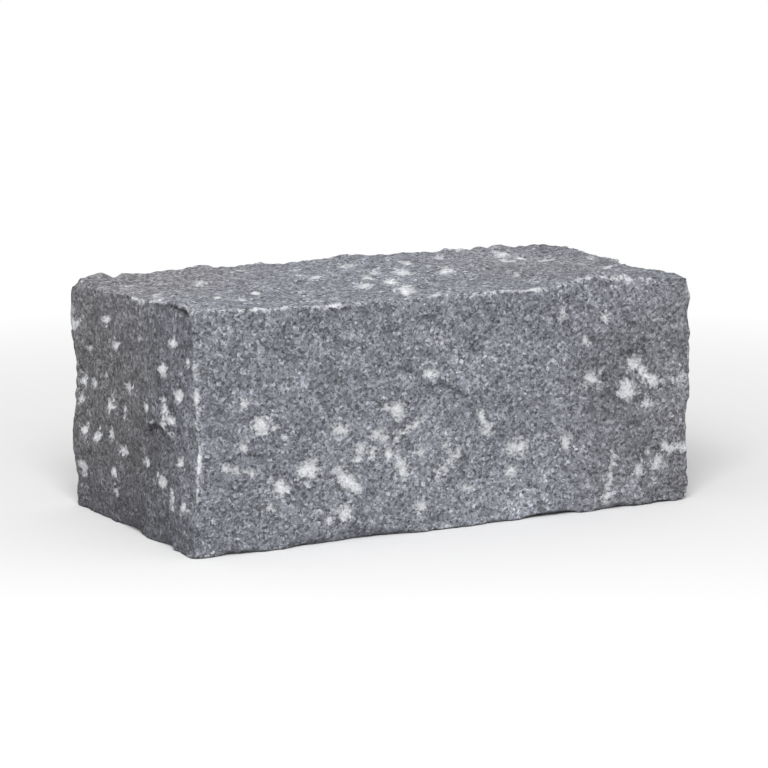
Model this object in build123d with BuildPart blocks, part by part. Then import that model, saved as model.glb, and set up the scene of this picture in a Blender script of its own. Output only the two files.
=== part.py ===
from build123d import *
import os
from dataclasses import dataclass
from math import cos, pi, radians, sin
from random import Random

# A natural stone wall block, one piece of dark grey granite. It is split on five sides and dressed
# by hand, and its underside is a flat bed. X runs along the wall, Y into it, and Z up.
# The origin is the middle of the bed. The wall's face looks towards -Y. Sizes are in millimetres.

# Overall size, measured over the high spots of opposite faces
length = 400.0
depth = 196.0
height = 172.0

# Split faces: the rough block is this much larger on each side, and the waste is struck off
overbreak = 20.0
survey_pitch = 24.0
fine_pitch = 4.0

# Undulation of a split face: a long swell and a shorter chop that crosses it, as half heights
swell_height = 0.9
swell_wavelength = 128.0
chop_height = 0.5
chop_wavelength = 71.0

# Margin pitched off the left end where it meets the wall's face, as one long shallow spall
margin_length = 124.0
margin_fall = 3.6
margin_lean = 6.0
margin_above_bed = 80.0

# Notch broken out of the left end's upper arris, close to the wall's face
notch_length = 34.0
notch_bite = 5.0
notch_lean = 40.0
notch_from_face = 12.0

# Corner knocked off at the top of the left end, away from the wall's face
corner_length = 36.0
corner_bite = 4.5
corner_lean = 40.0
corner_from_back = 7.0

# Shell knocked out of the upper arris of the wall's face, where the top steps up
shell_length = 30.0
shell_bite = 3.2
shell_lean = 55.0
shell_from_right = 92.0

# Flake gone from the lower arris of the wall's face
flake_length = 84.0
flake_bite = 3.0
flake_lean = 65.0
flake_from_left = 128.0

# Smaller spalls that the pitching tool left along every arris, as lowest and highest values
spall_pitch = 58.0
spall_length = (24.0, 50.0)
spall_bite = (1.0, 3.0)
spall_lean = (18.0, 72.0)
corner_clearance = 16.0


def ball_radius(chord, bite):
    """The ball that cuts a shell-shaped break, chord wide and bite deep."""
    return (chord**2 / 4 + bite**2) / (2 * bite)


@dataclass
class SplitFace:
    """One split face, surveyed on the plane that touches its high spots."""

    plane: Plane
    width: float
    breadth: float
    falls: tuple  # how far the corners lie back: lower left, lower right, upper left, upper right
    crown: float  # how far the middle stands proud of the corners, or lies back if it is negative
    heading: float  # direction in which the swell runs, in degrees from the width
    lumps: tuple = ()  # lumps and hollows: place across, place up, rise (negative in a hollow), reach
    scars: tuple = ()  # where a flake has sprung off: place across, place up, width, bite

    def __post_init__(self):
        survey = self.survey(0.0, fine_pitch)
        self.high_spot = min(self.roughness(u, v) for row in survey for u, v in row)

    def survey(self, overhang, pitch):
        """Rows of points over the face and as far past its edges as the overhang."""
        across = self.width + 2 * overhang
        up = self.breadth + 2 * overhang
        columns = max(4, round(across / pitch))
        rows = max(4, round(up / pitch))
        return [
            [(across * (i / columns - 0.5), up * (j / rows - 0.5)) for i in range(columns + 1)]
            for j in range(rows + 1)
        ]

    def roughness(self, u, v):
        """Depth below an arbitrary level: twist, crown, swell and lumps together."""
        s = u / self.width + 0.5
        t = v / self.breadth + 0.5
        lower = self.falls[0] * (1 - s) + self.falls[1] * s
        upper = self.falls[2] * (1 - s) + self.falls[3] * s
        twist = lower * (1 - t) + upper * t
        crown = self.crown * sin(pi * min(max(s, 0), 1)) * sin(pi * min(max(t, 0), 1))
        way = radians(self.heading)
        along = u * cos(way) + v * sin(way)
        beside = v * cos(way) - u * sin(way)
        swell = swell_height * sin(2 * pi * along / swell_wavelength + way)
        chop = chop_height * sin(2 * pi * beside / chop_wavelength + way)
        lumps = sum(
            rise * cos(pi / 2 * min(Vector(u - across, v - up, 0).length / reach, 1)) ** 2
            for across, up, rise, reach in self.lumps
        )
        return twist - crown + swell + chop - lumps

    def depth_at(self, u, v):
        """Depth of the stone below the plane that touches its high spots."""
        return self.roughness(u, v) - self.high_spot

    def depth_below(self, point):
        """The same, for a point given in the block's own coordinates."""
        local = self.plane.to_local_coords(Vector(point))
        return self.depth_at(local.X, local.Y)

    def sheet(self):
        """The split surface itself, as one smooth sheet that overhangs the block."""
        return Face.make_surface_from_array_of_points(
            [
                [self.plane.from_local_coords((u, v, -self.depth_at(u, v))) for u, v in row]
                for row in self.survey(overbreak, survey_pitch)
            ]
        )

    def break_flakes(self):
        """Takes a flake off at each scar, as part of a large ball."""
        for across, up, width, bite in self.scars:
            radius = ball_radius(width, bite)
            rise = radius - bite - self.depth_at(across, up)
            with Locations(self.plane.from_local_coords((across, up, rise))):
                Sphere(radius, mode=Mode.SUBTRACT)


middle = height / 2
front = SplitFace(
    Plane((0, -depth / 2, middle), x_dir=(1, 0, 0), z_dir=(0, -1, 0)),
    length, height, falls=(1.5, 2.5, 2.0, 3.5), crown=1.5, heading=24.0,
    lumps=((0.30 * length, 0.10 * height, -1.8, 60.0), (-0.34 * length, 0.26 * height, -1.4, 56.0)),
    scars=((-0.08 * length, -0.22 * height, 112.0, 3.0),),
)
back = SplitFace(
    Plane((0, depth / 2, middle), x_dir=(-1, 0, 0), z_dir=(0, 1, 0)),
    length, height, falls=(2.5, 1.0, 2.0, 2.5), crown=2.0, heading=151.0,
    lumps=((-0.26 * length, 0.20 * height, -3.0, 74.0), (0.22 * length, -0.20 * height, 2.2, 62.0)),
    scars=((0.16 * length, 0.12 * height, 96.0, 3.4),),
)
left = SplitFace(
    Plane((-length / 2, 0, middle), x_dir=(0, -1, 0), z_dir=(-1, 0, 0)),
    depth, height, falls=(2.4, 4.2, 1.8, 1.6), crown=1.0, heading=78.0,
    lumps=(
        (0.24 * depth, -0.02 * height, 3.8, 66.0),
        (-0.50 * depth, 0.34 * height, 3.0, 44.0),
        (-0.50 * depth, -0.14 * height, 2.6, 36.0),
    ),
)
right = SplitFace(
    Plane((length / 2, 0, middle), x_dir=(0, 1, 0), z_dir=(1, 0, 0)),
    depth, height, falls=(0.6, 3.5, 1.4, 1.5), crown=2.0, heading=112.0,
    lumps=((-0.16 * depth, 0.12 * height, -2.4, 58.0), (0.24 * depth, -0.22 * height, 1.8, 48.0)),
    scars=((0.10 * depth, -0.10 * height, 70.0, 2.6),),
)
top = SplitFace(
    Plane((0, 0, height), x_dir=(1, 0, 0), z_dir=(0, 0, 1)),
    length, depth, falls=(3.8, 9.8, 9.0, 11.5), crown=2.5, heading=37.0,
    lumps=(
        (-0.48 * length, -0.34 * depth, 4.2, 48.0),
        (0.29 * length, -0.46 * depth, 6.8, 50.0),
        (0.0, 0.50 * depth, 3.2, 175.0),
    ),
)
bed = Plane((0, 0, 0), x_dir=(1, 0, 0), z_dir=(0, 0, -1))


def corner(x_side, y_side, z_side):
    """A corner of the box that touches the high spots."""
    return Vector(x_side * length / 2, y_side * depth / 2, z_side * height)


@dataclass
class Arris:
    """The edge where two faces meet, and the edge of the box from start to end beside it."""

    first: object
    second: object
    start: Vector
    end: Vector

    def run(self):
        return (self.end - self.start).length

    def point(self, distance):
        """Where the arris lies, at a distance from its start."""
        place = self.start + (self.end - self.start) * (distance / self.run())
        for face in (self.first, self.second):
            if face is not bed:
                place = place - face.plane.z_dir * face.depth_below(place)
        return place

    def outward(self, lean):
        """A direction out of the stone, leaning from the first face's normal to the second's."""
        first, second = (
            face.z_dir if face is bed else face.plane.z_dir for face in (self.first, self.second)
        )
        return first * cos(radians(lean)) + second * sin(radians(lean))

    def spall(self, distance, chord, bite, lean):
        """A shell-shaped break, chord long and bite deep, cut as part of a large ball."""
        radius = ball_radius(chord, bite)
        with Locations(self.point(distance) + self.outward(lean) * (radius - bite)):
            Sphere(radius, mode=Mode.SUBTRACT)


top_front = Arris(top, front, corner(-1, -1, 1), corner(1, -1, 1))
bed_front = Arris(bed, front, corner(-1, -1, 0), corner(1, -1, 0))
top_back = Arris(top, back, corner(-1, 1, 1), corner(1, 1, 1))
bed_back = Arris(bed, back, corner(-1, 1, 0), corner(1, 1, 0))
left_front = Arris(left, front, corner(-1, -1, 0), corner(-1, -1, 1))
right_front = Arris(right, front, corner(1, -1, 0), corner(1, -1, 1))
left_back = Arris(left, back, corner(-1, 1, 0), corner(-1, 1, 1))
right_back = Arris(right, back, corner(1, 1, 0), corner(1, 1, 1))
left_top = Arris(left, top, corner(-1, -1, 1), corner(-1, 1, 1))
right_top = Arris(right, top, corner(1, -1, 1), corner(1, 1, 1))
left_bed = Arris(left, bed, corner(-1, -1, 0), corner(-1, 1, 0))
right_bed = Arris(right, bed, corner(1, -1, 0), corner(1, 1, 0))
arrises = (
    top_front, bed_front, top_back, bed_back, left_front, right_front,
    left_back, right_back, left_top, right_top, left_bed, right_bed,
)

with BuildPart() as stone_block:
    # The rough block stands on its bed and is too large on the other five sides.
    Box(
        length + 2 * overbreak,
        depth + 2 * overbreak,
        height + overbreak,
        align=(Align.CENTER, Align.CENTER, Align.MIN),
    )
    for face in (front, back, left, right, top):
        extrude(face.sheet(), amount=2 * overbreak, dir=face.plane.z_dir, mode=Mode.SUBTRACT)
        face.break_flakes()

    # The breaks that give this block its own outline
    left_front.spall(margin_above_bed, margin_length, margin_fall, margin_lean)
    left_top.spall(notch_from_face, notch_length, notch_bite, notch_lean)
    left_top.spall(depth - corner_from_back, corner_length, corner_bite, corner_lean)
    top_front.spall(length - shell_from_right, shell_length, shell_bite, shell_lean)
    bed_front.spall(flake_from_left, flake_length, flake_bite, flake_lean)

    # Smaller spalls stand in a row along each arris, unevenly spaced and all different.
    for seed, arris in enumerate(arrises):
        chance = Random(seed)
        room = arris.run() - 2 * corner_clearance
        count = max(1, round(room / spall_pitch))
        for n in range(count):
            arris.spall(
                corner_clearance + room * (n + chance.uniform(0.2, 0.8)) / count,
                chance.uniform(*spall_length),
                chance.uniform(*spall_bite),
                chance.uniform(*spall_lean),
            )

stone_block.part.label = "stone_block"

os.makedirs("parts", exist_ok=True)
export_step(stone_block.part, "parts/stone_block.step")
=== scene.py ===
from dataclasses import dataclass
from itertools import combinations, product
from math import cos, pi, radians, sin
from random import Random

import bpy
import numpy as np
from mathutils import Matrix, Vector, noise
from mathutils.bvhtree import BVHTree
from mathutils.kdtree import KDTree


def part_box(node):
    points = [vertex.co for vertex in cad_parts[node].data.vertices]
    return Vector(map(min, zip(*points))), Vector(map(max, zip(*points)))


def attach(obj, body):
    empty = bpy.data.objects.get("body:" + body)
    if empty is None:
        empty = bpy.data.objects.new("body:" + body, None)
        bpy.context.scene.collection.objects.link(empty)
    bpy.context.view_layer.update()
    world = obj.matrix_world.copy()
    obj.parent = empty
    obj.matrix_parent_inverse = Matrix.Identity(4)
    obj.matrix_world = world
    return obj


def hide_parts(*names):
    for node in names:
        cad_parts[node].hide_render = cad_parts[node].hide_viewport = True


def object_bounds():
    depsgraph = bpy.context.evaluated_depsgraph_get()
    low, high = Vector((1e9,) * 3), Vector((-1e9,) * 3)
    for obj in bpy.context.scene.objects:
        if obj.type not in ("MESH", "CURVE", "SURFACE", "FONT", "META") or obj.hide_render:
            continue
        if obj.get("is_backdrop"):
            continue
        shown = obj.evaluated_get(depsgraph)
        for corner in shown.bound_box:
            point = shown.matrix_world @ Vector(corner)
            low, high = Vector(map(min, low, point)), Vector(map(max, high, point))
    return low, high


# A dark grey granite wall block, split and dressed by hand. The stone's surface is one closed mesh,
# laid over the solid and then given its broken relief, chipped arrises and bruised tool marks.
# Lengths are in metres, and MM turns millimetres into metres. What is laid out on the block's sides
# and arrises is given in plain millimetres instead: marks, crumbs, stretches, patches, flakes, chips,
# lumps, bumps and waves. A place on a side is measured across and up from its lower left corner.

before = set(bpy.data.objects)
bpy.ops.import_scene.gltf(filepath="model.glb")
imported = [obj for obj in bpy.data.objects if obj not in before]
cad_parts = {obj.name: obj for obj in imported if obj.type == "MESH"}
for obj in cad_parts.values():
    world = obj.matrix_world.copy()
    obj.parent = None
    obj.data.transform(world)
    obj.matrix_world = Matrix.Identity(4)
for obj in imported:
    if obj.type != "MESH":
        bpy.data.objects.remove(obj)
cad_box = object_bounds()

MM = 0.001

# The photograph's view of the block: two angles in degrees, distance, and focal length in millimetres
AZIMUTH = -28.0
ELEVATION = 10.9
DISTANCE = 2.703
LENS = 178.0

# The mesh: cells along X, Y and Z, how far outside the block a probe starts, and how far inside an
# arris the two sides that meet there are probed, and how often
CELLS = (208, 100, 90)
REACH = 30 * MM
INSET = 5 * MM
ROUNDS = 3

# Six sides as seen from outside: direction outwards, to the right and up
SIDES = {
    "face": np.array([(0, -1, 0), (1, 0, 0), (0, 0, 1)]),
    "back": np.array([(0, 1, 0), (-1, 0, 0), (0, 0, 1)]),
    "left": np.array([(-1, 0, 0), (0, -1, 0), (0, 0, 1)]),
    "right": np.array([(1, 0, 0), (0, 1, 0), (0, 0, 1)]),
    "top": np.array([(0, 0, 1), (1, 0, 0), (0, 1, 0)]),
    "bed": np.array([(0, 0, -1), (1, 0, 0), (0, -1, 0)]),
}

# Pick marks: place, radius and brightness, and for a dragged mark the place where it ends
MARKS = {
    "face": [
        (55, 88, 6.0, 1.0), (67, 84, 3.0, 0.8), (74, 77, 3.0, 0.7), (44, 102, 3.5, 0.8),
        (42, 73, 3.5, 0.8), (29, 60, 3.5, 0.75, 48, 55), (70, 43, 5.8, 1.0), (92, 52, 7.0, 1.0),
        (62, 30, 3.5, 0.8), (117, 78, 5.5, 0.9), (150, 92, 3.0, 0.7), (160, 88, 6.0, 1.0),
        (145, 72, 5.0, 0.85), (150, 68, 4.0, 0.7), (160, 69, 3.5, 0.75, 180, 80),
        (131, 63, 4.0, 0.85), (130, 56, 3.0, 0.8), (140, 59, 3.5, 0.85), (154, 58, 4.0, 0.95),
        (115, 48, 4.6, 0.9, 129, 36), (164, 44, 5.5, 1.0, 163, 49), (179, 57, 3.5, 0.8),
        (107, 17, 4.0, 0.8), (120, 19, 6.0, 0.9), (179, 18, 4.5, 0.85), (186, 111, 5.0, 0.85),
        (196, 132, 6.0, 0.55), (225, 80, 4.0, 0.8, 231, 66), (207, 55, 5.0, 0.68, 192, 41),
        (197, 60, 3.0, 0.7), (216, 59, 2.5, 0.6), (215, 27, 3.0, 0.8), (252, 53, 6.0, 0.9, 258, 52),
        (250, 37, 3.5, 0.95), (270, 79, 2.0, 0.6), (277, 59, 3.0, 0.55), (294, 52, 4.0, 0.85),
        (291, 144, 6.0, 0.6), (327, 138, 4.0, 0.85), (310, 122, 3.0, 0.95), (316, 95, 6.0, 0.9),
        (351, 104, 4.5, 0.95, 366, 89), (346, 85, 6.3, 1.0), (361, 75, 3.5, 0.8),
        (383, 89, 3.5, 0.8, 391, 90), (334, 38, 3.0, 0.85, 328, 6), (356, 28, 4.0, 0.95),
        (372, 29, 5.0, 0.95), (376, 41, 4.0, 0.9, 396, 38), (364, 39, 2.5, 0.7),
    ],
    "left": [
        (57, 144, 3.5, 1.3), (69, 126, 3.9, 1.4), (28, 118, 3.5, 0.7), (109, 137, 3.5, 0.7),
        (151, 123, 3.9, 1.3), (166, 145, 3.5, 1.35), (186, 134, 3.1, 0.9), (92, 101, 3.9, 1.4),
        (54, 104, 2.6, 0.9), (17, 93, 3.5, 1.3), (33, 94, 3.5, 1.3), (64, 84, 4.4, 1.4),
        (84, 84, 2.6, 1.0), (83, 78, 2.6, 1.0), (124, 93, 3.5, 1.3), (153, 102, 2.6, 0.95, 151, 84),
        (170, 108, 4.4, 1.4), (159, 89, 3.9, 1.3), (12, 78, 3.1, 1.1), (19, 58, 3.5, 1.3),
        (39, 57, 3.9, 1.3, 43, 58), (64, 62, 3.5, 1.35), (80, 55, 3.5, 1.3, 86, 54),
        (121, 53, 3.5, 1.3), (171, 62, 3.5, 1.1), (12, 31, 5.2, 1.4), (65, 36, 3.9, 1.35),
        (69, 22, 3.5, 1.2), (146, 45, 4.4, 1.3), (158, 38, 2.6, 1.1, 160, 27), (176, 32, 3.9, 1.4),
        (13, 134, 3.2, 1.3), (6, 132, 4.4, 1.5),
    ],
    "top": [
        (217, 99, 6.4, 1.05), (184, 60, 5.5, 0.95), (182, 31, 5.1, 1.1), (196, 108, 4.1, 0.95),
        (180, 84, 4.6, 0.95), (163, 56, 4.6, 1.05), (240, 137, 4.1, 1.0), (247, 92, 5.1, 1.0),
        (195, 147, 4.6, 0.95), (205, 125, 4.1, 0.9), (144, 96, 4.1, 1.0), (84, 72, 3.7, 1.15),
        (308, 186, 4.1, 1.0), (331, 160, 5.1, 0.95), (318, 132, 5.5, 1.0), (338, 142, 4.6, 0.95),
        (354, 133, 5.1, 1.1), (71, 129, 3.7, 0.9), (12, 68, 5.5, 0.8), (22, 95, 4.6, 0.7),
        (52, 63, 3.7, 0.8), (60, 42, 3.7, 0.7), (192, 8, 4.6, 0.7), (372, 80, 4.1, 0.85),
        (112, 27, 3.2, 0.8), (272, 150, 4.1, 0.8), (288, 60, 3.7, 0.7), (25, 150, 4.6, 0.8),
        (120, 165, 3.7, 0.8), (345, 20, 3.7, 0.7), (385, 125, 3.7, 0.8), (150, 140, 3.7, 0.7),
    ],
}

# Length over width of the marks on a side, and their lean to the right in degrees, where they
# aren't round
SLENDER = {"left": (0.8, 0), "top": (2.4, 28)}

# A bright mark shows out to about this many times its radius, with a rim that is ragged by random
# waves. Here and below, waves are given as their length and height.
MARK_REACH = 1.35
MARK_WAVES = (4, 0.6)

# The spots of a dragged mark have this share of its radius. Around each spot lie crumbs: one for
# every so many millimetres of its radius, so many times its radius away, with a radius of their own,
# and with this share of its brightness.
DRAGGED_SIZE = (0.6, 1.0)
CRUMB_SPACING = 1.8
CRUMB_AWAY = (1.0, 1.7)
CRUMB_RADIUS = (1.4, 2.2)
CRUMB_BRIGHTNESS = 0.7

# Crushed stone is sunk into a pit, which starts and is deepest at these values of bruising
PIT_BRUISING = (0.3, 0.8)
PIT_DEPTH = 0.7 * MM

# Sides that the photograph doesn't show get marks strewn at random: how many, in how many clusters,
# and the seed. A cluster's middle lies at these shares of the side's width and height, its marks are
# spread by so much across and up, and this share of all marks is in one.
STREWN = {"back": (46, 5, 11), "right": (27, 4, 29), "bed": (14, 3, 37)}
CLUSTER_ACROSS = (0.12, 0.88)
CLUSTER_UP = (0.15, 0.85)
CLUSTER_SPREAD = (34, 20)
CLUSTERED_SHARE = 0.7

# The strewn marks: least distance from the side's edges, radii, brightness, and the share of them
# that is dragged, and how far
STREWN_MARGIN = 4
STREWN_RADII = (2.5, 3.0, 3.5, 4.0, 4.5, 5.5)
STREWN_BRIGHTNESS = (0.7, 1.1)
DRAGGED_SHARE = 0.2
DRAG_LENGTH = (8, 20)

# Stretches where an arris is crushed white, by the two sides that meet there: distance of both ends
# from the left, the face or the bed, and brightness. Arrises that aren't named get random stretches.
WORN = {
    ("face", "top"): [
        (24, 46, 0.95), (46, 92, 0.85), (92, 132, 0.9), (150, 165, 0.6), (205, 239, 0.65),
        (240, 276, 0.95), (283, 299, 0.65), (299, 320, 0.7), (322, 349, 0.95), (358, 385, 0.6),
    ],
    ("face", "left"): [
        (38, 58, 0.8), (58, 73, 1.25), (72, 106, 0.9), (105, 118, 1.2), (122, 136, 1.0),
    ],
    ("left", "top"): [
        (2, 26, 0.8), (36, 62, 0.85), (80, 98, 0.95), (108, 140, 0.7), (150, 172, 0.5),
    ],
    ("left", "bed"): [(6, 22, 0.6)],
    ("back", "left"): [(130, 146, 1.0), (87, 97, 0.9), (76, 84, 0.8)],
    ("face", "bed"): [(3, 29, 0.6), (76, 93, 0.6), (185, 211, 0.6)],
}

# The random stretches: their seed, the length of arris for each, how long they are and how bright
WORN_SEED = 71
WORN_SPACING = 28
WORN_LENGTH = (8, 34)
WORN_BRIGHTNESS = (0.7, 1.4)

# The white of a stretch: its strength on the arris itself, the strip beside it over which it falls by
# 1, and its waves
WORN_PEAK = 0.9
WORN_WIDTH = 5 * MM
WORN_WAVES = (6, 0.5)

# Stretches where the first side is undercut just below the second, in the same form as WORN, the
# distances from the arris between which the hollow fades out, and its depth. The hollow is also
# darkened with painted shadow.
UNDERCUT = {("left", "top"): [(5, 39, 0.5), (10, 35, 0.8), (15, 31, 1.0)]}
UNDERCUT_FADE = (3.2 * MM, 6.4 * MM)
UNDERCUT_DEPTH = 2.4 * MM

# Length over which a stretch of either kind fades in or out
STRETCH_FADE = 4

# Broad patches that are lighter or darker than the rest of a side: place, half width, half height
# and change of tone. Most are the stone's own tone, but on the left end some are painted light and
# shade.
TONE_AND_SHADE_PATCHES = {
    "face": [
        (200, 170, 240, 45, -0.06), (335, 88, 42, 62, -0.24), (165, 60, 105, 60, 0.20),
        (250, 20, 120, 50, 0.24), (70, 20, 70, 40, 0.08), (0, 10, 40, 40, -0.10),
        (392, 14, 40, 40, -0.12), (255, 4, 150, 40, 0.24), (205, 112, 80, 34, 0.20),
        (20, 110, 50, 44, -0.08), (285, 66, 36, 40, 0.22), (125, 105, 36, 30, 0.10),
        (340, 160, 110, 50, 0.10),
    ],
    # Left end: painted shade darkens the whole end and its lower part, and painted light brightens its
    # upper part and the margin facet near the face
    "left": [
        (98, 86, 400, 400, -0.25), (90, 155, 130, 45, 0.14), (90, 10, 140, 50, -0.16),
        (115, 58, 52, 36, -0.16), (186, 82, 26, 80, 0.20), (10, 155, 60, 36, 0.10),
        (72, 62, 34, 30, -0.12),
    ],
    "top": [
        (190, 90, 300, 190, 0.14), (300, 55, 80, 60, -0.12), (40, 50, 60, 50, -0.06),
        (335, 140, 85, 55, 0.24), (30, 30, 40, 60, 0.12),
    ],
}
TONE_WAVES = (25, 0.18)

# Painted light and shade, as shares of the tone: on a bump, paler on its highs and darker in its
# lows; painted shade at the foot of a flake's step; and painted shadow in the undercut
BUMP_LIGHT_AND_SHADE = 0.14
FOOT_SHADE = -0.6
UNDERCUT_SHADOW = -0.9

# How bluish the stone is where no patch changes it, from 0 for neutral to 1, and the patches, in the
# same form as the tone patches above
BLUISH = 0.9
BLUISH_PATCHES = {
    "face": [(420, 60, 190, 240, -0.55)],
    "left": [(20, 100, 150, 200, -1.0), (110, 90, 60, 200, -0.4)],
    "top": [(30, 160, 150, 110, -1.0), (330, 110, 130, 130, -0.5)],
}

# Flakes that sprang off a side, with a step at the end that they point to: place, radius, depth, and
# the direction of the step in degrees
FLAKES = {
    "face": [(190, 73, 31, 3.4, 61), (184, 140, 11, 2.6, 95), (118, 22, 30, 2.4, 100)],
    "left": [(140, 57, 27, 5.0, 84), (70, 120, 20, 2.0, 30), (62, 132, 16, 2.0, -60)],
    "back": [(96, 108, 40, 5.0, 66), (262, 52, 34, 4.8, 236), (330, 128, 24, 4.2, 12)],
    "right": [(66, 58, 32, 4.8, 204), (142, 122, 26, 4.2, 58)],
    "bed": [(120, 80, 40, 2.4, 130), (300, 110, 32, 2.0, 300)],
}

# Width of a flake's step over the flake's radius, and the waves of its rim
RIM_WIDTH = 0.12
RIM_WAVES = (9, 0.16)

# Along a step run a foot that is darkened with painted shade and a bruised lip, as bands this far
# from the rim and this wide on either side of their middle. They are at full strength where the flake
# is this deep, and the higher the last value is, the longer and more sharply ended they are.
BAND_OFFSET = 1.6
FOOT_SHADE_WIDTH = 3.2
LIP_WIDTH = 2.8
FULL_STEP = 5
BAND_FADE = 2.2

# How strongly the lip is crushed, beside a pick mark
LIP_BRUISING = 0.65

# Flakes and chips strewn at random: their seed, how many, lowest and highest radius, and depth over
# radius. The right end has more chips than the other sides, on its hidden arrises and its corners.
BREAK_SEED = 5
LOOSE_FLAKES = 420
LOOSE_FLAKE = (4.0, 25.0), (0.04, 0.10)
ARRIS_CHIPS = 180
ARRIS_CHIP = (3.24, 12.96), (0.06, 0.15)
END_CHIPS = 22
END_CHIP = (8, 22), (0.08, 0.16)
CORNER_CHIP = (9, 15), (0.2, 0.3)

# Lumps that stand proud of an arris: place, radius, and height, which is negative in a dip
KNOBS = {
    "top": [
        (20, 194, 10, 2.4), (50, 194, 70, 1.6), (100, 194, 14, 1.8), (300, 194, 24, 1.8),
        (322, 194, 34, 2.2), (345, 194, 12, 1.0), (30, 194, 8, -1.8), (199, 194, 8, -1.8),
        (250, 194, 15, -2.0), (325, 194, 8, 1.6),
    ],
    "left": [
        (0, 80, 110, 1.6), (0, 111, 26, 2.4), (0, 52, 22, 1.4), (0, 147, 18, 2.4), (0, 130, 14, 1.6),
        (0, 5, 18, 2.4),
    ],
}

# The broken surface: height of the small bumps on each side and their waves, and the broad scoops
BUMPS = {"face": 0.6, "back": 1.0, "left": 2.0, "right": 1.3, "top": 2.2, "bed": 0.5}
BUMP_WAVES = ((5.5, 0.6), (12, 0.8))
SCOOP_SIZE = 42 * MM
SCOOP_HEIGHT = 0.9 * MM

# It lies this far inside the solid on average, so that its bumps stay in the box, and comes up to the
# solid over a strip beside each arris
SETBACK = 0.5 * MM
SETBACK_STRIP = 12 * MM

# How deep and how far from the edge the arrises crumble
CRUMBLE_DEPTH = 1.2 * MM
CRUMBLE_WIDTH = 6 * MM
CRUMBLE_WAVES = ((4.5, 1.0), (11, 0.7))

# The granite: sizes of the large and small crystals and of their clumps, how far and how finely the
# crystals' outlines are jogged, grain of the crushed marks' rims, and the fracture's roughness
LARGE_CRYSTAL = 2.1 * MM
SMALL_CRYSTAL = 1.0 * MM
CLUMP = 9 * MM
JOG = 1.1 * MM
JOG_SIZE = 1.8 * MM
FUZZ_SIZE = 4.5 * MM
ROUGH_HEIGHT = 0.85 * MM
ROUGH_SIZE = 2.6 * MM

# Crushing at which the first powder shows on the stone, and at which it is all powder
POWDER_STARTS = 0.34
POWDER_FULL = 0.86

# The studio: half the floor's width, its grey as the camera sees it and as it throws light back, the
# distances over which it fades to white, the sky's strength as it lights the block, and a soft lamp
FLOOR_HALF_WIDTH = 20.0
FLOOR_SEEN = 0.97
FLOOR_BOUNCE = 0.42
FLOOR_FADE = (0.32, 0.85)
SKY_LIGHT = 0.54
LAMP_TARGET = (0, 0, 0.08)
LAMP_DIRECTION = (-0.36, -0.61, 0.62)
LAMP_DISTANCE = 2.4
LAMP_SIZE = 1.1
LAMP_WATTS = 38.0


@dataclass
class Skin:
    """The block's surface as points, with the corners of the box that it stays in. For each point and
    axis, sides has 1 or -1 where the point is outermost and 0 elsewhere."""

    points: np.ndarray
    sides: np.ndarray
    low: np.ndarray
    high: np.ndarray

    def count(self):
        """How many sides meet at each point: 1 within a side, 2 on an arris and 3 at a corner."""
        return np.abs(self.sides).sum(axis=1)

    def on(self, name):
        """Whether each point lies on a side."""
        return self.sides @ SIDES[name][0] > 0

    def arrises(self):
        """The points on the arrises only."""
        chosen = self.count() > 1
        return Skin(self.points[chosen], self.sides[chosen], self.low, self.high)

    def size(self, name):
        """A side's width and height in millimetres."""
        return np.abs(SIDES[name][1:] @ (self.high - self.low)) / MM

    def corner(self, name):
        """A side's lower left corner."""
        outward, right, up = SIDES[name]
        return (self.low + self.high) / 2 + (self.high - self.low) / 2 * (outward - right - up)

    def plan(self, name):
        """How far across a side and up it each point lies, in millimetres."""
        return (self.points - self.corner(name)) @ SIDES[name][1:].T / MM

    def nearest(self, name, across, height):
        """The point nearest to a place on a side."""
        _, right, up = SIDES[name]
        place = self.corner(name) + (across * right + height * up) * MM
        return self.points[np.argmin(np.linalg.norm(self.points - place, axis=1))]


def cast(solid, start, direction):
    """The first point of the solid from start along direction, or else the one nearest to start."""
    hit = solid.ray_cast(start, direction, 2 * REACH)[0]
    return hit if hit is not None else solid.find_nearest(start)[0]


def seat(solid, place, outward):
    """Brings a lattice point onto the solid. Outward has 1 or -1 for each side that it lies on."""
    sides = [axis for axis in range(3) if outward[axis]]
    if len(sides) == 1:
        return cast(solid, place + outward * REACH, -outward)

    # Where sides meet is found in rounds, because each side is probed beside the others.
    corner = place.copy()
    for _ in range(ROUNDS):
        for axis in sides:
            probe = corner - outward * INSET
            probe[axis] = place[axis] + outward[axis] * REACH
            inward = Vector((0, 0, 0))
            inward[axis] = -outward[axis]
            corner[axis] = cast(solid, probe, inward)[axis]
    diagonal = outward.normalized()
    return cast(solid, corner + diagonal * REACH, -diagonal)


def shares(axis):
    """How far along an axis each layer of the lattice lies, from 0 to 1."""
    return np.linspace(0, 1, CELLS[axis] + 1)


def lattice_sides():
    """For each point of the lattice and each axis, 1 or -1 where it is outermost and 0 elsewhere."""
    steps = np.indices([n + 1 for n in CELLS])
    return np.stack([(step == n).astype(int) - (step == 0) for step, n in zip(steps, CELLS)], axis=-1)


def spread_between_corners(solid, low, high):
    """A lattice spread evenly between the block's eight corners, which are brought onto the solid."""
    weights = [np.stack([1 - shares(axis), shares(axis)]) for axis in range(3)]
    points = np.zeros([n + 1 for n in CELLS] + [3])
    for ends in product((0, 1), repeat=3):
        outward = Vector([2 * end - 1 for end in ends])
        place = Vector([(low, high)[end][axis] for axis, end in enumerate(ends)])
        corner = np.array(seat(solid, place, outward))
        share = np.einsum("i,j,k->ijk", *[weight[end] for weight, end in zip(weights, ends)])
        points += share[..., None] * corner
    return points


def fit_arrises(solid, points):
    """Brings the lattice's twelve edges onto the solid's arrises."""
    sides = lattice_sides()
    for axis in range(3):
        steps = [(0, n) for n in CELLS]
        steps[axis] = range(1, CELLS[axis])
        for cell in product(*steps):
            points[cell] = seat(solid, Vector(points[cell]), Vector(sides[cell]))


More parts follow.
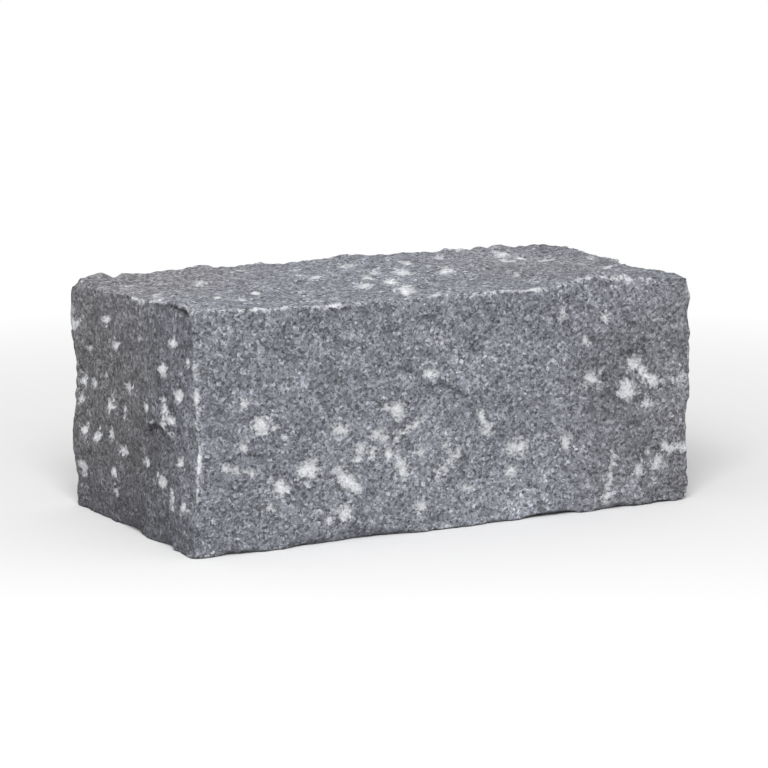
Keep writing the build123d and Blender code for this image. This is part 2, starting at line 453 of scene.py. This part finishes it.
def fit_sides(solid, points, straight):
    """Brings the lattice's sides onto the solid. First each is drawn along by its arrises, which have
    moved away from the straight lattice."""
    for axis in range(3):
        first, second = (other for other in range(3) if other != axis)
        s = shares(first)[:, None, None]
        t = shares(second)[None, :, None]
        for end, way in ((0, -1), (CELLS[axis], 1)):
            side = np.moveaxis(points, axis, 0)[end]
            shift = side - np.moveaxis(straight, axis, 0)[end]
            side[1:-1, 1:-1] += (
                (1 - s) * shift[:1] + s * shift[-1:] + (1 - t) * shift[:, :1] + t * shift[:, -1:]
            )[1:-1, 1:-1]
            outward = Vector((0, 0, 0))
            outward[axis] = way
            for cell in product(range(1, CELLS[first]), range(1, CELLS[second])):
                side[cell] = seat(solid, Vector(side[cell]), outward)


def fitted_lattice(solid, low, high):
    """Points of a box lattice, its outside drawn onto the solid: corners, then arrises, then sides."""
    points = spread_between_corners(solid, low, high)
    straight = points.copy()
    fit_arrises(solid, points)
    fit_sides(solid, points, straight)
    return points


def lattice_mesh(points):
    """The outside of the lattice as vertices and quads, with the sides that each vertex lies on."""
    sides = lattice_sides()
    outside = sides.any(axis=-1)
    index = np.full(outside.shape, -1)
    index[outside] = np.arange(outside.sum())
    quads = []
    for axis in range(3):
        turned = np.moveaxis(index, [axis, (axis + 1) % 3, (axis + 2) % 3], [0, 1, 2])
        for end in (0, CELLS[axis]):
            grid = turned[end]
            loop = [grid[:-1, :-1], grid[1:, :-1], grid[1:, 1:], grid[:-1, 1:]]
            if end == 0:
                loop.reverse()
            quads.append(np.stack(loop, axis=-1).reshape(-1, 4))
    return points[outside], np.concatenate(quads), sides[outside]


def waves(points, *layers):
    """Random waves at each point, as the sum of layers that each have a length and a height."""
    return sum(
        height * np.array([noise.noise(Vector(place) / (length * MM)) for place in points])
        for length, height in layers
    )


def spots(mark, chance):
    """The round spots of a pick mark, as place, radius and brightness: one, or a chain where it is
    dragged, and the crumbs around."""
    across, up, radius, brightness, *end = mark
    drag = np.array(end) - (across, up) if end else np.zeros(2)
    count = 1 + round(np.linalg.norm(drag) / radius)
    for n in range(count):
        place = np.array((across, up)) + drag * n / max(count - 1, 1)
        size = radius * chance.uniform(*DRAGGED_SIZE) if end else radius
        yield place, size, brightness
        for _ in range(round(size / CRUMB_SPACING)):
            way = chance.uniform(0, 2 * pi)
            away = size * chance.uniform(*CRUMB_AWAY)
            crumb = place + (away * cos(way), away * sin(way))
            yield crumb, chance.uniform(*CRUMB_RADIUS), brightness * CRUMB_BRIGHTNESS


def strewn_marks(side_size, count, clusters, seed):
    """Random pick marks in clusters, in the form that MARKS has."""
    chance = Random(seed)
    width, height = side_size
    centres = [
        (chance.uniform(*CLUSTER_ACROSS) * width, chance.uniform(*CLUSTER_UP) * height)
        for _ in range(clusters)
    ]
    marks = []
    while len(marks) < count:
        if chance.random() < CLUSTERED_SHARE:
            across, up = chance.choice(centres)
            across += chance.gauss(0, CLUSTER_SPREAD[0])
            up += chance.gauss(0, CLUSTER_SPREAD[1])
        else:
            across, up = chance.uniform(0, width), chance.uniform(0, height)
        inside = min(across, width - across, up, height - up) > STREWN_MARGIN
        if not inside:
            continue
        mark = [across, up, chance.choice(STREWN_RADII), chance.uniform(*STREWN_BRIGHTNESS)]
        if chance.random() < DRAGGED_SHARE:
            way = chance.uniform(0, 2 * pi)
            drag = chance.uniform(*DRAG_LENGTH)
            mark += [across + drag * cos(way), up + drag * sin(way)]
        marks.append(tuple(mark))
    return marks


def bruising(skin):
    """How strongly each point is bruised by pick marks: 0 away from them, and 1 or more in the middle
    of a bright one."""
    strength = np.zeros(len(skin.points))
    for name in SIDES:
        on_side = skin.on(name)
        place = skin.plan(name)[on_side]
        slender, lean = SLENDER.get(name, (1, 0))
        beside = np.array((cos(radians(lean)), -sin(radians(lean))))
        along = np.array((sin(radians(lean)), cos(radians(lean)))) / slender
        ragged = (1 + waves(skin.points[on_side], MARK_WAVES)) / MARK_REACH
        field = np.zeros(len(place))
        chance = Random(name)
        for mark in MARKS.get(name) or strewn_marks(skin.size(name), *STREWN[name]):
            for centre, radius, brightness in spots(mark, chance):
                centre = place[np.argmin(np.linalg.norm(place - centre, axis=1))]
                distance = np.hypot((place - centre) @ beside, (place - centre) @ along)
                field = np.maximum(field, brightness * (MARK_REACH - ragged * distance / radius))
        strength[on_side] = np.maximum(strength[on_side], field)
    return strength


def bite(points, centre, radius, depth):
    """How deep a shell-shaped break goes at each point."""
    return depth * np.clip(1 - (((points - centre) / radius) ** 2).sum(axis=1), 0, 1)


def flake(points, rim_waves, centre, radius, depth, step):
    """How deep a flake goes at each point. It ends in a step with a wavy rim on one side, and tapers
    out away from it."""
    delta = (points - centre) / radius
    rim = np.clip((1 - np.linalg.norm(delta, axis=1) + rim_waves) / RIM_WIDTH, 0, 1)
    return depth * rim * np.clip(0.5 + 0.5 * delta @ step, 0, 1) ** 2


def step_bands(points, rim_waves, centre, radius, depth, step):
    """Two bands along a flake's step, from 0 to 1: the foot inside its rim, which is darkened with
    painted shade, and the bruised lip outside. Centre and points are in metres, and radius and depth in
    millimetres."""
    delta = (points - centre) / MM
    outside = np.linalg.norm(delta, axis=1) - radius * (1 + rim_waves)
    strength = np.clip(BAND_FADE * delta @ step / radius - 1, 0, 1) * depth / FULL_STEP
    foot_shade = strength * (1 - np.abs(outside + BAND_OFFSET) / FOOT_SHADE_WIDTH)
    lip = strength * (1 - np.abs(outside - BAND_OFFSET) / LIP_WIDTH)
    return np.clip(foot_shade, 0, 1), np.clip(lip, 0, 1)


def named_flakes(skin, rim_waves):
    """How much the flakes in FLAKES have taken off at each point, and the bands along their steps: the
    foot that gets painted shade and the bruised lip.
    """
    lost, foot_shade, lip = np.zeros((3, len(skin.points)))
    for name, flakes in FLAKES.items():
        _, right, up = SIDES[name]
        for across, height, radius, depth, heading in flakes:
            place = skin.nearest(name, across, height)
            step = cos(radians(heading)) * right + sin(radians(heading)) * up
            taken = flake(skin.points, rim_waves, place, radius * MM, depth * MM, step)
            own_foot_shade, own_lip = step_bands(skin.points, rim_waves, place, radius, depth, step)
            lost = np.maximum(lost, taken)
            foot_shade = np.maximum(foot_shade, own_foot_shade)
            lip = np.maximum(lip, own_lip)
    return lost, foot_shade, lip


def evenly(chance, sizes):
    """A random size between the lowest and the highest."""
    return chance.uniform(*sizes)


def mostly_small(chance, sizes):
    """A random size between the lowest and the highest, small ones being the commoner."""
    return chance.uniform(*np.sqrt(sizes)) ** 2


def chips(points, places, chance, draw, radii, depths):
    """How much chips at these places have taken off at each point. Draw says how their radii are
    drawn: evenly or mostly small."""
    lost = np.zeros(len(points))
    for place in places:
        radius = draw(chance, radii) * MM
        lost = np.maximum(lost, bite(points, place, radius, radius * chance.uniform(*depths)))
    return lost


def loose_flakes(points, places, chance, rim_waves, radii, depths):
    """How much flakes at these places, with steps on any side, have taken off at each point."""
    lost = np.zeros(len(points))
    for place in places:
        radius = mostly_small(chance, radii) * MM
        depth = radius * chance.uniform(*depths)
        step = chance.normal(size=3)
        step /= np.linalg.norm(step)
        lost = np.maximum(lost, flake(points, rim_waves, place, radius, depth, step))
    return lost


def strewn_breaks(skin, rim_waves):
    """How much has broken away at each point by flakes and chips that are strewn at random."""
    chance = np.random.default_rng(BREAK_SEED)
    points, count = skin.points, skin.count()
    right_end = skin.on("right")

    places = points[chance.choice(np.flatnonzero(count == 1), LOOSE_FLAKES)]
    within_sides = loose_flakes(points, places, chance, rim_waves, *LOOSE_FLAKE)
    places = points[chance.choice(np.flatnonzero(count > 1), ARRIS_CHIPS)]
    on_arrises = chips(points, places, chance, mostly_small, *ARRIS_CHIP)
    places = points[right_end & (count == 3)]
    on_corners = chips(points, places, chance, evenly, *CORNER_CHIP)
    hidden = right_end & (count > 1) & ~skin.on("face")
    places = points[chance.choice(np.flatnonzero(hidden), END_CHIPS)]
    on_hidden_arrises = chips(points, places, chance, evenly, *END_CHIP)
    return np.maximum.reduce([within_sides, on_arrises, on_corners, on_hidden_arrises])


def breaks(skin):
    """How much has broken away at each point, less the lumps that stand proud, and the two bands
    along the steps of the flakes in FLAKES: the foot that gets painted shade and the bruised lip."""
    rim_waves = waves(skin.points, RIM_WAVES)
    flakes, foot_shade, lip = named_flakes(skin, rim_waves)
    lost = np.maximum(flakes, strewn_breaks(skin, rim_waves))
    for name, knobs in KNOBS.items():
        for across, height, radius, rise in knobs:
            lost -= bite(skin.points, skin.nearest(name, across, height), radius * MM, rise * MM)
    return lost, foot_shade, lip


def patched(skin, patches, start):
    """A value at each point that is start, but for the changes that broad patches make to it."""
    value = np.full(len(skin.points), start)
    for name, broad in patches.items():
        across, height = skin.plan(name).T
        for centre, level, half_width, half_height, change in broad:
            away = np.hypot((across - centre) / half_width, (height - level) / half_height)
            value += skin.on(name) * change * np.cos(pi / 2 * np.minimum(away, 1)) ** 2
    return value


def arris_strength(arrises, stretches, spacing=0):
    """How strong the stretches are at each point on the arrises. An arris that has none gets random
    ones, as many as the spacing goes into its length, unless that is 0."""
    chance = Random(WORN_SEED)
    strength = np.zeros(len(arrises.points))
    for pair in combinations(SIDES, 2):
        on_arris = arrises.on(pair[0]) & arrises.on(pair[1])
        if not on_arris.any():
            continue
        axis = int(np.argmin(np.abs(SIDES[pair[0]][0]) + np.abs(SIDES[pair[1]][0])))
        station = (arrises.points[on_arris][:, axis] - arrises.low[axis]) / MM
        own = stretches.get(pair, [])
        if spacing and not own:
            starts = [chance.uniform(0, station.max()) for _ in range(round(station.max() / spacing))]
            own = [
                (start, start + chance.uniform(*WORN_LENGTH), chance.uniform(*WORN_BRIGHTNESS))
                for start in starts
            ]
        for start, end, value in own:
            inside = np.minimum(station - start, end - station) / STRETCH_FADE + 0.5
            strength[on_arris] = np.maximum(strength[on_arris], value * np.clip(inside, 0, 1))
    return strength


def nearest_arris(points, arris_points):
    """For each point, the number of the nearest point on an arris, and the distance to it."""
    tree = KDTree(len(arris_points))
    for number, place in enumerate(arris_points):
        tree.insert(place, number)
    tree.balance()
    found = [tree.find(place) for place in points]
    return [number for _, number, _ in found], np.array([distance for _, _, distance in found])


def scoops(points):
    """Height of the broken surface's broad scoops at each point."""
    smoothness, finer, octaves = 0.8, 2.1, 3
    return SCOOP_HEIGHT * np.array([
        noise.fractal(Vector(place) / SCOOP_SIZE, smoothness, finer, octaves) for place in points
    ])


def crumbled(points, distance):
    """How far the arrises have crumbled at each point, by its distance from the nearest one."""
    near = np.maximum(0, 1 - distance / CRUMBLE_WIDTH) ** 2
    return CRUMBLE_DEPTH * near * np.maximum(0, waves(points, *CRUMBLE_WAVES))


def dressing(skin):
    """How far each point stands out from the solid, and the values that colour the stone there, among
    them painted light and shade.
    """
    points = skin.points
    arrises = skin.arrises()
    nearest, distance = nearest_arris(points, arrises.points)

    undercut_and_shadow = arris_strength(arrises, UNDERCUT)[nearest]
    undercut_and_shadow *= np.any([skin.on(first) & ~skin.on(second) for first, second in UNDERCUT], axis=0)
    undercut_and_shadow *= np.interp(distance, UNDERCUT_FADE, (1, 0))
    worn = arris_strength(arrises, WORN, WORN_SPACING)[nearest]
    worn *= (WORN_PEAK - distance / WORN_WIDTH) * (1 - undercut_and_shadow) * (1 + waves(points, WORN_WAVES))
    bruise = bruising(skin)
    lost, foot_shade, lip = breaks(skin)

    bumps = waves(points, *BUMP_WAVES)
    bump_height = sum(skin.on(name) * height for name, height in BUMPS.items()) / skin.count() * MM
    lift = bumps * bump_height - np.interp(bruise, PIT_BRUISING, (0, PIT_DEPTH))
    lift -= lost + UNDERCUT_DEPTH * undercut_and_shadow + SETBACK * np.minimum(distance / SETBACK_STRIP, 1)
    lift += scoops(points) - crumbled(points, distance)

    # Tone from broad patches, some of which on the left end are painted light and shade, and from random
    # waves
    tone_and_shade = patched(skin, TONE_AND_SHADE_PATCHES, 1.0) + waves(points, TONE_WAVES)
    # Painted light and shade: paler on the highs of the small bumps and darker in their lows, painted
    # shade at the foot of a flake's step and painted shadow in the undercut
    tone_and_shade *= (1 + BUMP_LIGHT_AND_SHADE * bumps) * (1 + FOOT_SHADE * foot_shade) * (1 + UNDERCUT_SHADOW * undercut_and_shadow)
    return lift, {
        "crushed": np.maximum.reduce([bruise, worn, LIP_BRUISING * lip]),
        "tone_and_shade": tone_and_shade,
        "bluish": patched(skin, BLUISH_PATCHES, BLUISH),
    }


def blunt_corners(points, corners):
    """Draws each corner back between the six points nearest to it, so that it is no spike."""
    for corner in corners:
        near = np.argsort(np.linalg.norm(points - points[corner], axis=1))[1:7]
        points[corner] = points[near].mean(axis=0)


def stone_mesh(node):
    """The dressed block as one closed mesh, fitted to the CAD node."""
    low, high = (np.array(corner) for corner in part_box(node.name))
    solid = BVHTree.FromObject(node, bpy.context.evaluated_depsgraph_get())
    points, quads, sides = lattice_mesh(fitted_lattice(solid, low, high))

    mesh = bpy.data.meshes.new("stone_block_dressed")
    mesh.from_pydata(points.tolist(), [], quads.tolist())
    mesh.update()
    normals = np.zeros(points.size)
    mesh.vertices.foreach_get("normal", normals)

    skin = Skin(points, sides, low, high)
    lift, values = dressing(skin)
    dressed = points + normals.reshape(-1, 3) * lift[:, None]
    blunt_corners(dressed, np.flatnonzero(skin.count() == 3))
    mesh.vertices.foreach_set("co", np.clip(dressed, low, high).ravel())
    mesh.update()
    for name, value in values.items():
        mesh.attributes.new(name, "FLOAT", "POINT").data.foreach_set("value", value.astype(np.float32))
    mesh.shade_smooth()
    return mesh


def add(tree, kind, inputs=None, **settings):
    """A node of that kind, with its settings, and its inputs linked or set."""
    made = tree.nodes.new("ShaderNode" + kind)
    for name, value in settings.items():
        setattr(made, name, value)
    for key, value in (inputs or {}).items():
        if isinstance(value, bpy.types.NodeSocket):
            tree.links.new(value, made.inputs[key])
        else:
            made.inputs[key].default_value = value
    return made


def calculate(tree, operation, first, second):
    return add(tree, "Math", {0: first, 1: second}, operation=operation).outputs[0]


def blend_colours(tree, share, first, second, blend_type="MIX"):
    mix = add(tree, "Mix", {0: share, 6: first, 7: second}, data_type="RGBA", blend_type=blend_type)
    return mix.outputs[2]


def multiply_colours(tree, first, second):
    return blend_colours(tree, 1.0, first, second, "MULTIPLY")


def grey(value):
    return (value, value, value, 1)


def ramp(tree, value, stops):
    """A colour ramp with stops of position and grey or colour."""
    made = add(tree, "ValToRGB", {0: value})
    elements = made.color_ramp.elements
    while len(elements) < len(stops):
        elements.new(1.0)
    for element, (position, colour) in zip(elements, stops):
        element.position = position
        element.color = (*colour, 1) if isinstance(colour, tuple) else grey(colour)
    return made.outputs[0]


def patchy(tree, place, size):
    """A soft noise with grains of that size, as its node."""
    return add(tree, "TexNoise", {"Vector": place, "Scale": 1 / size, "Detail": 2.0})


def random_by_crystal(tree, place, size):
    """A random value for each crystal of that size, from 0 to 1."""
    crystals = add(tree, "TexVoronoi", {"Vector": place, "Scale": 1 / size})
    return add(tree, "SeparateColor", {0: crystals.outputs["Color"]}).outputs[0]


def new_material(name):
    material = bpy.data.materials.new(name)
    material.use_nodes = True
    material.node_tree.nodes.clear()
    return material, material.node_tree


def grain_colour(tree, place, large, small):
    """Salt-and-pepper crystals, with broad changes of tone that include painted light and shade, and a
    cast from neutral to bluish.
    """
    grain = ramp(tree, large, [
        (0.0, 0.11), (0.15, 0.17), (0.45, 0.24), (0.8, 0.31), (0.95, 0.39), (1.0, 0.50),
    ])
    specks = ramp(tree, small, [(0.0, 0.34), (0.14, 0.74), (0.5, 1.0), (0.85, 1.2), (1.0, 1.65)])
    clumps = ramp(tree, patchy(tree, place, CLUMP).outputs["Fac"], [(0.25, 0.80), (0.75, 1.20)])
    tone_and_shade = add(tree, "Attribute", attribute_name="tone_and_shade").outputs["Vector"]
    bluish = add(tree, "Attribute", attribute_name="bluish").outputs["Fac"]
    cast_colour = ramp(tree, bluish, [(0.0, (1.0, 0.985, 1.045)), (1.0, (0.94, 0.975, 1.11))])
    for change in (specks, clumps, tone_and_shade, cast_colour):
        grain = multiply_colours(tree, grain, change)
    return grain


def powder_colour(tree, crushed, large, small):
    """White crushed stone, the whiter the more it is crushed, and uneven by its crystals."""
    # Crushing goes up to 2, and a ramp only to 1
    powder = ramp(tree, calculate(tree, "MULTIPLY", crushed, 0.5), [
        (0.3, (0.60, 0.61, 0.64)), (0.5, (0.74, 0.75, 0.78)), (0.7, (0.93, 0.94, 0.96)),
    ])
    for crystals, stops in (
        (small, [(0.0, 0.70), (0.25, 0.92), (1.0, 1.10)]),
        (large, [(0.0, 0.78), (0.3, 0.96), (1.0, 1.10)]),
    ):
        powder = multiply_colours(tree, powder, ramp(tree, crystals, stops))
    return powder


def powder_share(tree, place, crushed, large, small):
    """How much of the stone is powder: 0 where it isn't crushed, and 1 where it is. It goes over from
    one to the other crystal by crystal."""
    fuzz = patchy(tree, place, FUZZ_SIZE).outputs["Fac"]
    share = crushed
    for value, weight in ((large, 0.30), (small, 0.26), (fuzz, 0.7)):
        offset = calculate(tree, "SUBTRACT", value, 0.5)
        share = calculate(tree, "ADD", share, calculate(tree, "MULTIPLY", offset, weight))
    return add(tree, "MapRange", {0: share, 1: POWDER_STARTS, 2: POWDER_FULL}).outputs[0]


def granite():
    """Dark grey granite: salt-and-pepper crystals, bruised pick marks and crushed arrises."""
    material, tree = new_material("granite")
    place = add(tree, "TexCoord").outputs["Object"]
    crushed = add(tree, "Attribute", attribute_name="crushed").outputs["Fac"]

    # Places are jogged a little, so that the crystals have ragged outlines
    ragged = add(
        tree, "VectorMath", {0: patchy(tree, place, JOG_SIZE).outputs["Color"], 1: (JOG,) * 3, 2: place},
        operation="MULTIPLY_ADD",
    ).outputs[0]
    large = random_by_crystal(tree, ragged, LARGE_CRYSTAL)
    small = random_by_crystal(tree, ragged, SMALL_CRYSTAL)
    grain = grain_colour(tree, place, large, small)
    powder = powder_colour(tree, crushed, large, small)
    colour = blend_colours(tree, powder_share(tree, place, crushed, large, small), grain, powder)

    rough = add(tree, "TexNoise", {
        "Vector": ragged, "Scale": 1 / ROUGH_SIZE, "Detail": 3.0, "Roughness": 0.6,
    })
    bump = add(tree, "Bump", {"Height": rough.outputs["Fac"], "Distance": ROUGH_HEIGHT, "Strength": 1.0})
    surface = add(tree, "BsdfPrincipled", {
        "Base Color": colour, "Roughness": 0.82, "Normal": bump.outputs[0],
        "Specular IOR Level": 0.35,
    })
    add(tree, "OutputMaterial", {"Surface": surface.outputs[0]})
    return material


def make_block():
    """The dressed block, which stands for the plain solid."""
    mesh = stone_mesh(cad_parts["stone_block"])
    mesh.materials.append(granite())
    block = bpy.data.objects.new("stone_block_dressed", mesh)
    bpy.context.scene.collection.objects.link(block)
    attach(block, "root")
    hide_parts("stone_block")


def directly_seen(tree):
    """1 for what the camera sees, also in a mirror or through glass, and 0 for light that bounces."""
    path = add(tree, "LightPath")
    seen = calculate(tree, "MAXIMUM", path.outputs["Is Camera Ray"], path.outputs["Is Glossy Ray"])
    return calculate(tree, "MAXIMUM", seen, path.outputs["Is Transmission Ray"])


def make_floor():
    """A plain pale floor that shades into a white background."""
    mesh = bpy.data.meshes.new("floor")
    far = FLOOR_HALF_WIDTH
    corners = [(-far, -far, 0), (far, -far, 0), (far, far, 0), (-far, far, 0)]
    mesh.from_pydata(corners, [], [(0, 1, 2, 3)])
    floor = bpy.data.objects.new("floor", mesh)
    bpy.context.scene.collection.objects.link(floor)
    floor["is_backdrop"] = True

    material, tree = new_material("studio_floor")
    seen = directly_seen(tree)
    paper = add(tree, "BsdfDiffuse", {
        "Color": blend_colours(tree, seen, grey(FLOOR_BOUNCE), grey(FLOOR_SEEN)),
    })
    glow = add(tree, "Emission", {"Color": grey(1), "Strength": 1.0})
    place = add(tree, "TexCoord").outputs["Object"]
    away = add(tree, "VectorMath", {0: place}, operation="LENGTH").outputs["Value"]
    fade = add(tree, "MapRange", {0: away, 1: FLOOR_FADE[0], 2: FLOOR_FADE[1]}).outputs[0]
    share = calculate(tree, "MULTIPLY", fade, seen)
    mix = add(tree, "MixShader", {0: share, 1: paper.outputs[0], 2: glow.outputs[0]})
    add(tree, "OutputMaterial", {"Surface": mix.outputs[0]})
    mesh.materials.append(material)


def make_light():
    """A white sky, and one large soft lamp above and in front of the block."""
    world = bpy.data.worlds.new("studio")
    bpy.context.scene.world = world
    world.use_nodes = True
    tree = world.node_tree
    tree.nodes.clear()
    strength = add(tree, "MapRange", {0: directly_seen(tree), 3: SKY_LIGHT, 4: 1.0}).outputs[0]
    sky = add(tree, "Background", {"Color": grey(1), "Strength": strength})
    add(tree, "OutputWorld", {"Surface": sky.outputs[0]})

    direction = Vector(LAMP_DIRECTION).normalized()
    lamp = bpy.data.lights.new("key", "AREA")
    lamp.shape = "SQUARE"
    lamp.size = LAMP_SIZE
    lamp.energy = LAMP_WATTS
    key = bpy.data.objects.new("key", lamp)
    key.location = Vector(LAMP_TARGET) + direction * LAMP_DISTANCE
    key.rotation_euler = direction.to_track_quat("Z", "Y").to_euler()
    bpy.context.scene.collection.objects.link(key)


def make_camera():
    """A camera at the photograph's viewing angle, aimed at the middle of the block."""
    low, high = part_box("stone_block")
    azimuth, elevation = radians(AZIMUTH), radians(ELEVATION)
    back = Vector((sin(azimuth) * cos(elevation), -cos(azimuth) * cos(elevation), sin(elevation)))
    data = bpy.data.cameras.new("camera")
    data.lens = LENS
    data.clip_end = 100
    camera = bpy.data.objects.new("camera", data)
    camera.location = (low + high) / 2 + back * DISTANCE
    camera.rotation_euler = back.to_track_quat("Z", "Y").to_euler()
    bpy.context.scene.collection.objects.link(camera)
    bpy.context.scene.camera = camera


make_camera()
make_light()
make_floor()
make_block()
bpy.context.scene.view_settings.view_transform = "Standard"

boxes = {"cad": cad_box, "visual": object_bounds()}
{name: [list(corner) for corner in box] for name, box in boxes.items()}
